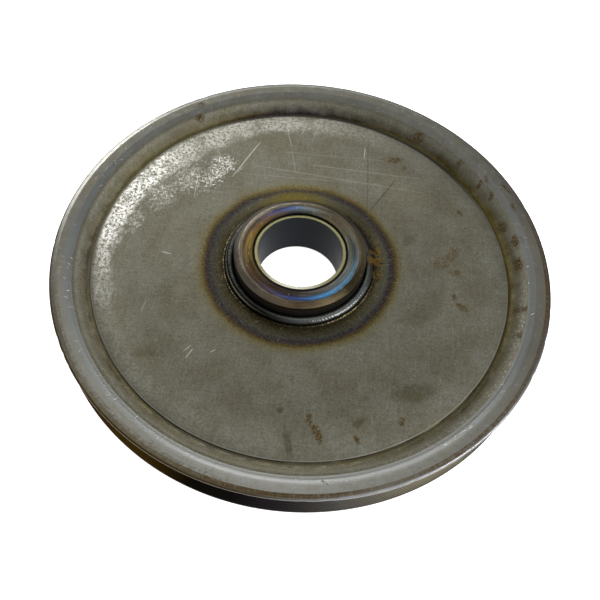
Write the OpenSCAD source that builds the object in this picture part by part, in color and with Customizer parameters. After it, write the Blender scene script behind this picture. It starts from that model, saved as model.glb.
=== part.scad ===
// Roll-forged rope sheave: one forged steel disc with a rope groove round its edge,
// a turned steel hub welded through the middle, and a pressed-in lined plain bush.
// It lies flat, with the bore along Z and the origin at the middle of the bore.
// Every size is in millimetres.

/* [Rim] */
// Diameter over the two flanges
outer_d = 350; // [300:10:420]
// Width over the two side faces
rim_w = 30; // [27:1:36]
// Diameter of the rope the groove is cut for
rope_d = 13; // [11:1:15]
// Depth of the groove, from the outside to its round bottom
groove_depth = 16.5; // [15:0.5:17.5]
// Groove radius as a share of the rope's diameter
groove_fit = 0.53; // [0.52:0.01:0.55]
// Radius of the rounded lip at the top of each flange
lip_r = 1.1; // [0.9:0.1:1.4]
// Width of the outer bevel on each side face
bevel_w = 4; // [3:0.5:5]
// Drop of the outer bevel
bevel_drop = 0.4; // [0.2:0.1:0.8]
// Width of the flat faced ring
face_w = 6; // [5:0.5:8]
// Drop of the faced ring towards the web
face_drop = 0.8; // [0.4:0.1:1.4]
// Width of the burnished band inside the faced ring
band_w = 5; // [4:0.5:6]
// Drop of the burnished band
band_drop = 1.4; // [0.8:0.1:1.8]
// Width of the forged slope below the burnished band
slope_w = 9.6; // [8.5:0.1:11]

/* [Web] */
// Plate thickness
web_t = 10; // [8:1:12]
// Width of the flat valley floor beside the web's edge
valley_w = 1.4; // [1:0.2:2.4]
// Height of the web's edge above the valley floor
edge_step = 1.4; // [1:0.1:2]
// Broken corner on the web's edge
edge_chamfer = 0.5; // [0.3:0.1:0.8]

/* [Hub] */
// Outside diameter
hub_d = 94; // [84:2:110]
// Length over the two end faces
hub_len = 38; // [34:1:44]
// Width of the bevel round each end face
hub_bevel_w = 4; // [2:0.5:5]
// Height of that bevel
hub_bevel_h = 2.3; // [1:0.1:3]
// Lead-in chamfer at each end of the hub's bore
hub_lead = 0.5; // [0.4:0.1:1.5]
// Clearance on the radius between the hub and the web's hole
web_seat_gap = 0.05; // [0.02:0.01:0.1]

/* [Bush] */
// Bore diameter, for the pin the sheave turns on
bush_id = 60; // [50:1:66]
// Wall thickness
bush_wall = 2.5; // [2:0.5:3]
// Length
bush_len = 35; // [28:1:36]
// Thickness of the low-friction lining inside the metal shell
lining_t = 0.3; // [0.2:0.05:0.5]
// Lead-in chamfer round each end of the shell
bush_lead = 0.4; // [0.3:0.1:1.2]
// Width of the butt seam where the wrapped strip meets
seam_w = 0.1; // [0.05:0.05:0.3]

/* [Weld] */
// Radius of the rounded fillet bead
bead_r = 4.1; // [3:0.1:5]
// Distance from the hub's side to the middle of the bead
bead_out = 2.9; // [2:0.1:3.6]

/* [View] */
// Sub-part to draw

/* [Hidden] */
$fn = 180;
// Straight steps that make up the small round of each lip
lip_steps = 12;
// Straight steps that make up the forged slope
slope_steps = 16;
// Overlap that keeps a cut or a join clear of a shared face
lap = 3;

outer_r = outer_d / 2;
face_out_r = outer_r - bevel_w;
face_in_r = face_out_r - face_w;
band_in_r = face_in_r - band_w;
valley_r = band_in_r - slope_w;
web_edge_r = valley_r - valley_w;

face_out_z = rim_w / 2;
lip_z = face_out_z - bevel_drop;
face_in_z = face_out_z - face_drop;
band_in_z = face_in_z - band_drop;
web_z = web_t / 2;
valley_z = web_z - edge_step;

// The forged slope is level at the valley floor and runs into the burnished band
slope_rise = band_in_z - valley_z;
slope_end = band_drop / band_w * slope_w / slope_rise;

// The flank is the straight line that touches both the groove's round bottom and the lip
groove_r = rope_d * groove_fit;
groove_mid_r = outer_r - groove_depth + groove_r;
lip_mid_r = outer_r - lip_r;
lip_mid_z = lip_z - lip_r;
lip_away = norm([lip_mid_r - groove_mid_r, lip_mid_z]);
flank_a = atan2(lip_mid_z, lip_mid_r - groove_mid_r) - asin((groove_r + lip_r) / lip_away);
flank_in_r = groove_mid_r - groove_r * sin(flank_a);
flank_in_z = groove_r * cos(flank_a);

hub_r = hub_d / 2;
bush_ir = bush_id / 2;
bush_or = bush_ir + bush_wall;
lining_or = bush_ir + lining_t;
web_hole_r = hub_r + web_seat_gap;

steel_plate = [0.42, 0.41, 0.37];
steel_turned = [0.40, 0.35, 0.31];
steel_weld = [0.16, 0.15, 0.14];
bush_metal = [0.68, 0.62, 0.40];
bush_dark = [0.13, 0.15, 0.18];

// Closes the upper half of a section with its own mirror image below the middle
function both_halves(upper) = concat(
    upper,
    [for (i = [len(upper) - 1 : -1 : 0]) [upper[i][0], -upper[i][1]]]
);

// Points round the lip, from the outer bevel over the top and down to the flank
function lip_points() = [
    for (i = [0 : lip_steps])
        let (a = 90 - i * (180 - flank_a) / lip_steps)
        [lip_mid_r + lip_r * cos(a), lip_mid_z + lip_r * sin(a)]
];

// Points up the forged slope, hollow at its foot and rounded over at its top
function slope_points() = [
    for (i = [0 : slope_steps])
        let (t = i / slope_steps)
        [valley_r + slope_w * t,
         valley_z + slope_rise * (t * t * (3 - 2 * t) - slope_end * t * t * (1 - t))]
];

module rim_section() {
    difference() {
        polygon(both_halves(concat(
            [
                [web_edge_r - lap, valley_z]
            ],
            slope_points(),
            [
                [face_in_r, face_in_z],
                [face_out_r, face_out_z]
            ],
            lip_points(),
            [[flank_in_r, flank_in_z]]
        )));
        translate([groove_mid_r, 0]) circle(groove_r);
    }
}

module web_section() {
    polygon(both_halves([
        [web_hole_r, web_z],
        [web_edge_r - edge_chamfer, web_z],
        [web_edge_r, web_z - edge_chamfer]
    ]));
}

// Web and rim are one forging
module sheave_disc() {
    color(steel_plate) rotate_extrude() {
        rim_section();
        web_section();
    }
}

module hub() {
    color(steel_turned) rotate_extrude() polygon(both_halves([
        [bush_or, hub_len / 2 - hub_lead],
        [bush_or + hub_lead, hub_len / 2],
        [hub_r - hub_bevel_w, hub_len / 2],
        [hub_r, hub_len / 2 - hub_bevel_h]
    ]));
}

// One fillet bead in the corner between the hub's side and the web
module weld_bead() {
    color(steel_weld) rotate_extrude() intersection() {
        translate([hub_r + bead_out, web_z]) circle(bead_r);
        translate([hub_r, web_z]) square(2 * bead_r + bead_out);
    }
}

module weld_bead_upper() {
    weld_bead();
}

module weld_bead_lower() {
    mirror([0, 0, 1]) weld_bead();
}

// A wrapped sleeve with its butt seam on the near side
module wrapped(inner_r, sleeve_or, lead) {
    difference() {
        rotate_extrude() polygon(both_halves([
            [inner_r, bush_len / 2],
            [sleeve_or - lead, bush_len / 2],
            [sleeve_or, bush_len / 2 - lead]
        ]));
        translate([-seam_w / 2, -bush_or - lap, -bush_len / 2 - lap])
            cube([seam_w, bush_wall + 2 * lap, bush_len + 2 * lap]);
    }
}

module bush_shell() {
    color(bush_metal) wrapped(lining_or, bush_or, bush_lead);
}

module bush_lining() {
    color(bush_dark) wrapped(bush_ir, lining_or, lining_t / 2);
}

sheave_disc();
hub();
weld_bead_upper();
weld_bead_lower();
bush_shell();
bush_lining();
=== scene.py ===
# %% [markdown]
# # A roll-forged rope sheave
#
# A sheave is a wheel with a groove that a wire rope runs in. This one starts as a flat steel
# plate. Its edge is heated and rolled into a groove, a turned hub is welded through the
# middle, and a thin lined bush is pressed into the hub.
#
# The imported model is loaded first, as a fixed frame. Everything below is built round it, in
# metres, so a piece goes where the frame says.

import math

import bmesh
import bpy
import numpy as np
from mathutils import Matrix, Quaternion, Vector


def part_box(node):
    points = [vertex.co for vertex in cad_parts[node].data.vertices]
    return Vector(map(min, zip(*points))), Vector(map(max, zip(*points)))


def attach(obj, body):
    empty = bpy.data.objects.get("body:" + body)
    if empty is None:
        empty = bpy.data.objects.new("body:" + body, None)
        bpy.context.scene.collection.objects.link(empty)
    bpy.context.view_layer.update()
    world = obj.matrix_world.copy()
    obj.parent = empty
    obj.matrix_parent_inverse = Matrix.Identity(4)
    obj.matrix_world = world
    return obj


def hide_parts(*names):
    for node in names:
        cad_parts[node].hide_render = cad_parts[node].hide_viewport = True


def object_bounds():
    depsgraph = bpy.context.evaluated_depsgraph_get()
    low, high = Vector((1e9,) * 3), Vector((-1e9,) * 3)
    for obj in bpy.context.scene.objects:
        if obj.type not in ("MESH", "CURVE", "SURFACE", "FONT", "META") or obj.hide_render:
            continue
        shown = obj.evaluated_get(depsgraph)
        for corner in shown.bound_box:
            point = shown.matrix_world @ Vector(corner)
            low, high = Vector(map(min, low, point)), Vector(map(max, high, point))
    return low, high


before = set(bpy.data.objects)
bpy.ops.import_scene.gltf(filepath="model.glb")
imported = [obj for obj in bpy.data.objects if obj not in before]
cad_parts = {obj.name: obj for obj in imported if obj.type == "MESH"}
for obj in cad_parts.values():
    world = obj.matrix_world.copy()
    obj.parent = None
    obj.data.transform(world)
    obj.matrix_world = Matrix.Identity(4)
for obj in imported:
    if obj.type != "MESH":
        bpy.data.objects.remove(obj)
cad_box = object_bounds()
print("nodes:", sorted(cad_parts))
print("box (mm):", [round(v * 1000, 2) for corner in cad_box for v in corner])

# %% [markdown]
# ## Sizes that the pieces share
#
# The frame gives the outer sizes. The sizes in between, such as where the plate's edge lies,
# belong to the wheel's section, and are written once here so that shape and finish agree.
# Radii and heights are in millimetres, because that is how a turner would read them.

# %% Read the sizes
MM = 0.001


def reach(node):
    """Outer radius and top height of a node, in millimetres."""
    low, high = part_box(node)
    return high.x / MM, high.z / MM


OUTER_R, SIDE_Z = reach("sheave_disc")
HUB_R, HUB_TOP = reach("hub")
WELD_R, WELD_TOP = reach("weld_bead_upper")
BUSH_R, BUSH_TOP = reach("bush_shell")
HOLE_R = 47.05                     # the hole in the web that the hub sits in
WEB_Z = 5.0                        # half the plate's thickness
EDGE_R = 149.0                     # the plate's edge, where the rolled rim begins
VALLEY_R, VALLEY_Z = 150.4, 3.6    # end of the flat valley floor beside that edge
BAND_R, BAND_Z = 160.0, 12.8       # inner edge of the burnished band
FACE_R, FACE_Z = 165.0, 14.2       # inner edge of the faced ring
BEVEL_R = 171.0                    # start of the outer bevel
LIP_R, LIP_Z, LIP_ROUND = 173.9, 13.5, 1.1   # middle of the rounded lip, and its radius
GROOVE_MID, GROOVE_ROUND = 165.39, 6.89      # middle and radius of the groove's bottom
FLANK = math.radians(27.7)                   # slope of the groove's straight flanks
BEAD_R, BEAD_ROUND = 49.9, 4.1               # middle and radius of the weld bead
print(f"rim {OUTER_R:.1f} at {SIDE_Z:.1f}, hub {HUB_R:.1f} at {HUB_TOP:.1f}, "
      f"weld {WELD_R:.1f} at {WELD_TOP:.1f}, bush {BUSH_R:.1f} at {BUSH_TOP:.1f}")

# %% [markdown]
# ## The camera
#
# The wheel lies flat and is seen from above at about 54 degrees, from close by, so its near
# side looks larger than its far side. A 39 mm lens on a 36 mm sensor gives that perspective.
# The camera is rolled by just under two degrees, and a small shift places the wheel in frame.

# %% Place the camera
def add_object(name, data):
    """A new object, linked into the scene."""
    made = bpy.data.objects.new(name, data)
    bpy.context.scene.collection.objects.link(made)
    return made


CAMERA_AT = Vector((0.0, -0.2718, 0.3859))
CAMERA_AIM = Vector((-0.0179, -0.0674, 0.0146))
CAMERA_ROLL = math.radians(1.75)

camera_data = bpy.data.cameras.new("studio_camera")
camera_data.lens = 38.66
camera_data.sensor_width = 36.0
camera_data.shift_x = 0.060
camera_data.shift_y = 0.056
camera_data.clip_start = 0.01
camera = add_object("studio_camera", camera_data)
camera.location = CAMERA_AT
camera.rotation_mode = "QUATERNION"
camera.rotation_quaternion = ((CAMERA_AT - CAMERA_AIM).to_track_quat("Z", "Y")
                              @ Quaternion((0, 0, 1), CAMERA_ROLL))
bpy.context.scene.camera = camera
print("camera height above the wheel (mm):", round(CAMERA_AT.z / MM))

# %% [markdown]
# ## Studio light
#
# Bare steel shows what it mirrors, so the lights are placed by where each surface looks.
# A flat face seen from the front mirrors what stands behind it, so two softboxes behind and to
# the left light the scuffed ring, the burnished band and the outer bevel. One on the right
# catches the lip, the weld and the bore, and a large one overhead fills in. The room is plain
# pale grey.

# %% Hang the softboxes
def softbox(name, azimuth, elevation, size, power, distance=1.2):
    """An area light aimed at the wheel. Azimuth 0 is straight behind, and 90 is to the right."""
    a, e = math.radians(azimuth), math.radians(elevation)
    toward = Vector((math.sin(a) * math.cos(e), math.cos(a) * math.cos(e), math.sin(e)))
    data = bpy.data.lights.new(name, "AREA")
    data.shape, data.size, data.size_y = "RECTANGLE", *size
    data.energy = power
    lamp = add_object(name, data)
    lamp.location = toward * distance
    lamp.rotation_mode = "QUATERNION"
    lamp.rotation_quaternion = toward.to_track_quat("Z", "Y")


softbox("softbox_back", -12, 40, (0.80, 0.26), 5.5)
softbox("softbox_back_left", -38, 32, (0.42, 0.36), 3.2)
softbox("softbox_right", 112, 38, (0.62, 0.30), 10.0)
softbox("softbox_above", 10, 80, (1.2, 1.2), 4.0, distance=1.6)

room = bpy.data.worlds.new("pale_room")
room.use_nodes = True
room.node_tree.nodes["Background"].inputs["Color"].default_value = (0.93, 0.95, 1.0, 1)
room.node_tree.nodes["Background"].inputs["Strength"].default_value = 0.75
bpy.context.scene.world = room
bpy.context.scene.view_settings.view_transform = "Standard"

# %% [markdown]
# ## A way to write finishes
#
# A finish is a graph of shader nodes. Written one node at a time it is hard to follow, so the
# small `Field` class below lets the nodes be written as sums. A field is a number or a colour
# that varies over the surface. Adding two fields adds a Math node and its wires.

# %% Define fields
class Field:
    """The output of a node in a finish, which can be used in sums."""

    def __init__(self, tree, socket):
        self.tree, self.socket = tree, socket

    def calc(self, operation, *others, clamp=False):
        """A Math node that reads this field and the others."""
        node = self.tree.nodes.new("ShaderNodeMath")
        node.operation, node.use_clamp = operation, clamp
        for socket, value in zip(node.inputs, (self, *others)):
            feed(self.tree, socket, value)
        return Field(self.tree, node.outputs[0])

    def __add__(self, other): return self.calc("ADD", other)
    def __sub__(self, other): return self.calc("SUBTRACT", other)
    def __rsub__(self, other): return self.calc("MULTIPLY_ADD", -1.0, other)
    def __mul__(self, other): return self.calc("MULTIPLY", other)
    def __truediv__(self, other): return self.calc("DIVIDE", other)
    __radd__, __rmul__ = __add__, __mul__

    def most(self, other): return self.calc("MAXIMUM", other)
    def clamped(self): return self.calc("ADD", 0.0, clamp=True)


def feed(tree, socket, value):
    """Wires a field to a socket, or sets the socket's own value."""
    if isinstance(value, Field):
        tree.links.new(value.socket, socket)
    elif socket.type == "RGBA":
        socket.default_value = (*value, 1.0)
    elif value is not None:
        socket.default_value = value


def place_node(tree, kind, inputs=(), out=0, **settings):
    """Adds a node, sets it up, wires its named inputs and returns one output as a field."""
    node = tree.nodes.new(kind)
    for key, value in settings.items():
        setattr(node, key, value)
    for key, value in dict(inputs).items():
        feed(tree, node.inputs[key], value)
    return Field(tree, node.outputs[out])


def parts(tree, value, kind="ShaderNodeSeparateXYZ"):
    """The three parts of a position or a colour, as fields."""
    node = tree.nodes.new(kind)
    feed(tree, node.inputs[0], value)
    return [Field(tree, out) for out in node.outputs]


# %% [markdown]
# ## Colours as seen
#
# A tint is written as it looks on a screen, from 0 to 255, and changed to the linear share of
# light that shaders work in. Steel also gathers light from the softboxes, so it shows brighter
# than its own colour. Dividing by how bright the studio is makes a tint look right when lit.
# Freshly bared metal gathers the most, so it is divided by more.

# %% Define tints
ROOM_LIGHT, BARE_LIGHT = 1.65, 2.0


def tint(red, green, blue, light=ROOM_LIGHT):
    """The surface colour that looks like this under the studio's light."""
    seen = np.array([red, green, blue]) / 255.0
    linear = np.where(seen < 0.04045, seen / 12.92, ((seen + 0.055) / 1.055) ** 2.4)
    return tuple(np.clip(linear / light, 0, 1))


def bare(*seen):
    """The tint of freshly bared metal."""
    return tint(*seen, light=BARE_LIGHT)


print("mid steel:", [round(v, 3) for v in tint(105, 104, 92)])

# %% [markdown]
# ## Where a finish is on the wheel
#
# Everything done to this wheel was done round its axle: rolled, turned, welded, worn. So a
# finish is laid out by radius and by angle, not by left and right. Angles run from 0 at the
# right, to 90 at the far side and 180 at the left, as on a compass drawn by a mathematician.

# %% Start a finish
MIX_INPUTS, MIX_OUTPUT = (0, 6, 7), 2   # a Mix node's factor and two colours, and its result


class Finish:
    """A steel finish with the fields that every one of them needs."""

    def __init__(self, name):
        self.material = bpy.data.materials.new(name)
        self.material.use_nodes = True
        self.tree = self.material.node_tree
        self.shader = self.tree.nodes["Principled BSDF"]
        coordinates = place_node(self.tree, "ShaderNodeTexCoord", out="Object")
        self.place = place_node(self.tree, "ShaderNodeVectorMath",
                                {"Vector": coordinates, "Scale": 1 / MM}, operation="SCALE")
        self.x, self.y, self.z = parts(self.tree, self.place)
        self.height = self.z.calc("ABSOLUTE")
        self.radius = (self.x * self.x + self.y * self.y).calc("SQRT")
        self.right, self.far = self.x / self.radius, self.y / self.radius
        self.turn = (self.y.calc("ARCTAN2", self.x) * (180 / math.pi)).calc(
            "FLOORED_MODULO", 360.0)

    def join(self, x, y, z):
        """A position made from three fields or numbers."""
        return place_node(self.tree, "ShaderNodeCombineXYZ", {"X": x, "Y": y, "Z": z})

    def grain(self, size, detail=3.0, rough=0.55, at=None):
        """Cloudy noise from 0 to 1 whose lumps are about `size` millimetres."""
        return place_node(self.tree, "ShaderNodeTexNoise",
                          {"Vector": at or self.place, "Scale": 1 / size, "Detail": detail,
                           "Roughness": rough})

    def sway(self, size, amount, detail=3.0, rough=0.55):
        """Cloudy noise that goes as far below 0 as above it, `amount` in all."""
        return (self.grain(size, detail, rough) - 0.5) * amount

    def patches(self, size, low, high, detail=4.0, rough=0.55):
        """Cloudy noise cut into patches: 0 below `low` and 1 above `high`."""
        return self.step(self.grain(size, detail, rough), low, high)

    def rings(self, pitch, length, detail=2.0):
        """Noise drawn out round the axle: `pitch` across the lines, `length` along them."""
        around = self.join(self.right * (100 / length), self.far * (100 / length),
                           (self.radius + self.z) / pitch)
        return self.grain(1.0, detail, at=around)

    def streaks(self, x, y, detail=3.0, rough=0.55, z=0.0):
        """Straight streaks: noise squeezed by one amount along x and another along y."""
        return self.grain(1.0, detail, rough, at=self.join(self.x * x, self.y * y, z))

    def step(self, value, low, high):
        """A smooth rise from 0 at `low` to 1 at `high`. It falls if `low` is the larger."""
        return place_node(self.tree, "ShaderNodeMapRange",
                          {"Value": value, "From Min": low, "From Max": high},
                          interpolation_type="SMOOTHSTEP")

    def within(self, value, low, high, soft):
        """1 between `low` and `high`, with soft ends."""
        return self.step(value, low - soft, low + soft) * self.step(value, high + soft, high - soft)

    def turns(self, low, high, soft):
        """1 between two angles, with soft ends."""
        return self.within(self.turn, low, high, soft)

    def radii(self, low, high, soft):
        """1 between two radii, with soft ends."""
        return self.within(self.radius, low, high, soft)

    def ramp(self, value, stops, low=0.0, high=360.0):
        """A colour that follows (value, colour) stops, by default once round the wheel."""
        node = self.tree.nodes.new("ShaderNodeValToRGB")
        band = node.color_ramp
        while len(band.elements) < len(stops):
            band.elements.new(1.0)
        for element, (at, colour) in zip(band.elements, stops):
            element.position = (at - low) / (high - low)
            element.color = (*colour, 1.0)
        feed(self.tree, node.inputs[0], (value - low) * (1 / (high - low)))
        return Field(self.tree, node.outputs[0])

    def tints(self, value, stops, **ends):
        """A ramp from stops of (value, red, green, blue), written as tints."""
        return self.ramp(value, [(at, tint(*seen)) for at, *seen in stops], **ends)

    def levels(self, stops):
        """A number that follows (angle, number) stops round the wheel."""
        return self.ramp(self.turn, [(at, (level,) * 3) for at, level in stops])

    def blend(self, factor, first, second):
        """The first colour where the factor is 0, the second where it is 1."""
        node = self.tree.nodes.new("ShaderNodeMix")
        node.data_type = "RGBA"
        for index, value in zip(MIX_INPUTS, (factor, first, second)):
            feed(self.tree, node.inputs[index], value)
        return Field(self.tree, node.outputs[MIX_OUTPUT])

    def coats(self, colour, coats):
        """Lays (mask, colour) coats over a colour, one after another."""
        for mask, coat in coats:
            colour = self.blend(mask, colour, coat)
        return colour

    def cloudy(self, size, first, second, detail=3.0):
        """Two colours, mixed by cloudy noise."""
        return self.blend(self.grain(size, detail), first, second)

    def scale(self, colour, factor):
        """The colour made lighter or darker by a factor."""
        return place_node(self.tree, "ShaderNodeVectorMath", {"Vector": colour, "Scale": factor},
                          operation="SCALE")

    def done(self, colour, roughness, metal, height, shine=0.5):
        """Wires the shader. `height` is the relief in millimetres, `shine` one fixed number."""
        for name, value in (("Base Color", colour), ("Roughness", roughness),
                            ("Metallic", metal), ("Specular IOR Level", shine)):
            feed(self.tree, self.shader.inputs[name], value)
        bump = place_node(self.tree, "ShaderNodeBump",
                          {"Height": height, "Distance": MM, "Strength": 1.0})
        feed(self.tree, self.shader.inputs["Normal"], bump)
        print(self.material.name, "has", len(self.tree.nodes), "nodes")
        return self.material


# %% [markdown]
# ## Marks of use
#
# A scratch is a thin line between two points, and a rust blot is a soft patch with a ragged
# edge. Both are small node groups, so that each real mark is one line in a list. A group is
# made once and used by every finish, as a stencil would be.

# %% Make the scratch and blot stencils
def stencil(name, inputs):
    """A new node group with a position input, number inputs and one output."""
    tree = bpy.data.node_groups.new(name, "ShaderNodeTree")
    for label in inputs:
        kind = "NodeSocketVector" if label == "Place" else "NodeSocketFloat"
        tree.interface.new_socket(label, in_out="INPUT", socket_type=kind)
    tree.interface.new_socket("Mask", in_out="OUTPUT", socket_type="NodeSocketFloat")
    start, end = tree.nodes.new("NodeGroupInput"), tree.nodes.new("NodeGroupOutput")
    return tree, [Field(tree, socket) for socket in start.outputs[:-1]], end.inputs[0]


def leaned(off_x, off_y, lean):
    """An offset measured along and across a direction, which is given by its angle."""
    cos, sin = lean.calc("COSINE"), lean.calc("SINE")
    return off_x * cos + off_y * sin, off_y * cos - off_x * sin


scratch_group, (s_place, s_x, s_y, s_dx, s_dy, s_width), scratch_out = stencil(
    "scratch_stencil", ("Place", "X", "Y", "Along X", "Along Y", "Width"))
off_x, off_y, _ = parts(scratch_group, s_place)
off_x, off_y = off_x - s_x, off_y - s_y
share = ((off_x * s_dx + off_y * s_dy) / (s_dx * s_dx + s_dy * s_dy)).clamped()
gap_x, gap_y = off_x - share * s_dx, off_y - share * s_dy
gap = (gap_x * gap_x + gap_y * gap_y).calc("SQRT")
taper = (share * (1.0 - share) * 4.0).calc("POWER", 0.35)
feed(scratch_group, scratch_out, (1.0 - gap / (s_width * taper + 0.02)).clamped())

blot_group, (b_place, b_x, b_y, b_long, b_wide, b_lean, b_ragged), blot_out = stencil(
    "blot_stencil", ("Place", "X", "Y", "Long", "Wide", "Lean", "Ragged"))
off_x, off_y, _ = parts(blot_group, b_place)
along, across = leaned(off_x - b_x, off_y - b_y, b_lean)
along, across = along / b_long, across / b_wide
edge = place_node(blot_group, "ShaderNodeTexNoise",
                  {"Vector": b_place, "Scale": 0.35, "Detail": 5.0, "Roughness": 0.65})
reach_out = (along * along + across * across).calc("SQRT") + (edge - 0.5) * b_ragged
feed(blot_group, blot_out, ((1.0 - reach_out) * 2.0).clamped())
print("stencils:", scratch_group.name, blot_group.name)


# %% Use the stencils
def at(turn, radius):
    """The x and y of a point given by angle in degrees and radius in millimetres."""
    return radius * math.cos(math.radians(turn)), radius * math.sin(math.radians(turn))


def stamped(finish, group, marks):
    """A mask of marks, each the strength and then the numbers that the stencil takes."""
    mask = None
    for strength, *numbers in marks:
        node = finish.tree.nodes.new("ShaderNodeGroup")
        node.node_tree = group
        for socket, value in zip(node.inputs, (finish.place, *numbers)):
            feed(finish.tree, socket, value)
        one = Field(finish.tree, node.outputs[0]) * strength
        mask = one if mask is None else mask.most(one)
    return mask


def scratches(finish, marks):
    """A mask of scratches, each ((turn, radius), (turn, radius), width, strength)."""
    ends = [(at(*start), at(*end), width, strength) for start, end, width, strength in marks]
    return stamped(finish, scratch_group, [
        (strength, x0, y0, x1 - x0, y1 - y0, width)
        for (x0, y0), (x1, y1), width, strength in ends])


def blots(finish, marks, ragged=1.3):
    """A mask of blots, each (turn, radius, length, width, lean in degrees, strength)."""
    return stamped(finish, blot_group, [
        (strength, *at(turn, radius), length, width, math.radians(lean), ragged)
        for turn, radius, length, width, lean, strength in marks])


def nicks(finish, spacing, length, width, share):
    """A mask of short random scratches, about one per `spacing` millimetres each way."""
    cells = finish.tree.nodes.new("ShaderNodeTexVoronoi")
    feed(finish.tree, cells.inputs["Vector"], finish.join(finish.x, finish.y, 0.0))
    feed(finish.tree, cells.inputs["Scale"], 1 / spacing)
    cells.voronoi_dimensions = "2D"
    colour, position = (Field(finish.tree, cells.outputs[key]) for key in ("Color", "Position"))
    pick, lean, _ = parts(finish.tree, colour, "ShaderNodeSeparateColor")
    middle_x, middle_y, _ = parts(finish.tree, position)
    along, across = (side.calc("ABSOLUTE") for side in leaned(
        finish.x - middle_x, finish.y - middle_y, lean * (2 * math.pi)))
    line = (1.0 - across / width).clamped() * (1.0 - along / length).clamped()
    return line * pick.calc("LESS_THAN", share)


# %% [markdown]
# ## Mill plate
#
# The web is plate as it left the rolling mill: grey oxide rubbed to an olive sheen, with
# faint streaks both ways where it slid over other plates. Round the weld the heat has
# coloured the oxide in rings: nearly black at the weld, then grey, a dark violet ring, and a
# gold fringe before the plate's own grey. The plate's outer ring is rubbed to bare metal.

# %% Lay out the heat rings and the plate's own colour
HEAT_END = 79.0

plate = Finish("mill_plate")
heat_r = plate.radius + (plate.sway(28, 4.0, 2.0) + plate.sway(1.5, 3.4, 4.0, 0.7))
plate_grey = plate.coats(tint(101, 99, 85), [
    (plate.patches(26, 0.38, 0.62), tint(110, 109, 97)),
    (plate.patches(7, 0.45, 0.75) * 0.16, tint(84, 79, 58))])
heat_rings = plate.tints(heat_r, [
    (52, 22, 18, 12), (55.5, 46, 40, 26), (58.5, 74, 70, 50), (62.5, 74, 74, 64),
    (65.3, 46, 45, 49), (67.3, 45, 40, 41), (69.4, 74, 63, 33), (71.5, 98, 91, 62),
    (77.0, 106, 103, 86)], low=45, high=85)
heat_gold = plate.tints(heat_r, [
    (54, 62, 52, 20), (58, 106, 94, 34), (62, 100, 88, 30), (66, 68, 62, 52),
    (69, 106, 95, 54), (75, 112, 108, 88)], low=45, high=85)
heat_rings = plate.blend(plate.turns(80, 116, 18) * 0.75, heat_rings, heat_gold)
# The heat rings are made darker on the left and near side of the weld, and in a patch towards the
# far right.
weld_side_darkening = (plate.turns(144, 325, 24).most(plate.turns(26, 62, 14))
             * plate.step(plate.radius, 67, 61))
heat_rings = plate.scale(heat_rings, 1.0 - weld_side_darkening * 0.42)
plate_colour = plate.blend(plate.step(heat_r, HEAT_END, 70), plate_grey, heat_rings)
near_side = plate.step(plate.far, 0.2, -0.6)
right_side = plate.step(plate.right, 0.75, 1.0)
# Painted sheen: the plate is made lighter in a ring on the near side, in a band on the right and in
# a patch towards the far right.
painted_sheen = (plate.step(plate.radius, 118, 132) * near_side).most(
    plate.step(plate.radius, 92, 112) * right_side).most(
    plate.turns(32, 60, 16) * plate.radii(90, 118, 12) * 1.6)
plate_colour = plate.scale(plate_colour, 1.0 + 0.18 * painted_sheen)
print("heat rings end at", HEAT_END, "mm")

# %% [markdown]
# The rolled rim meets the plate in a narrow valley. Scale and forging lubricant stay there,
# so it is dark brown with gold where the scale is thin. The fillet above it fades to steel.

# %% Add the valley and the fillet
valley_turns = plate.tints(plate.turn, [
    (0, 60, 54, 26), (25, 62, 55, 18), (48, 44, 38, 8), (70, 36, 30, 18), (95, 34, 33, 40),
    (118, 58, 50, 28), (140, 84, 80, 56), (180, 78, 74, 60), (225, 86, 82, 68),
    (280, 104, 100, 84), (318, 66, 62, 48), (360, 60, 54, 26)])
valley_patches = plate.step(plate.rings(6.0, 60.0), 0.42, 0.66)
fillet_r = plate.radius + plate.sway(9, 5.0)
fillet_colour = plate.coats(valley_turns, [
    (valley_patches * 0.5, tint(92, 84, 54)),
    (plate.step(fillet_r, 151.0, 158.0),
     plate.cloudy(12, tint(92, 89, 70), tint(116, 115, 106)))])
# Painted light and shade on the slope: its colour is scaled by angle, lightest on the near side and
# darkest at the far left.
painted_slope_light = plate.levels([
    (0, 0.44), (45, 0.42), (90, 0.52), (135, 0.26), (165, 0.60), (200, 0.82), (270, 0.95),
    (315, 0.55), (360, 0.44)]) * 4.0
on_slope = plate.step(fillet_r, 150.8, 153.6) * plate.step(plate.radius, 159.6, 156.8)
fillet_colour = plate.scale(fillet_colour, 1.0 + on_slope * (painted_slope_light - 1.0))
in_rim = plate.step(plate.radius, EDGE_R - 0.2, EDGE_R + 0.3)
plate_colour = plate.blend(in_rim, plate_colour, fillet_colour)

# %% [markdown]
# Now the marks. The scuffed ring and the fan-shaped patch are bare, bright metal, broken up
# by pits that kept their oxide. Long straight scratches are where a sling or a plate edge was
# dragged over, and the reddish blots are flash rust from wet fingers and drips.

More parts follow.
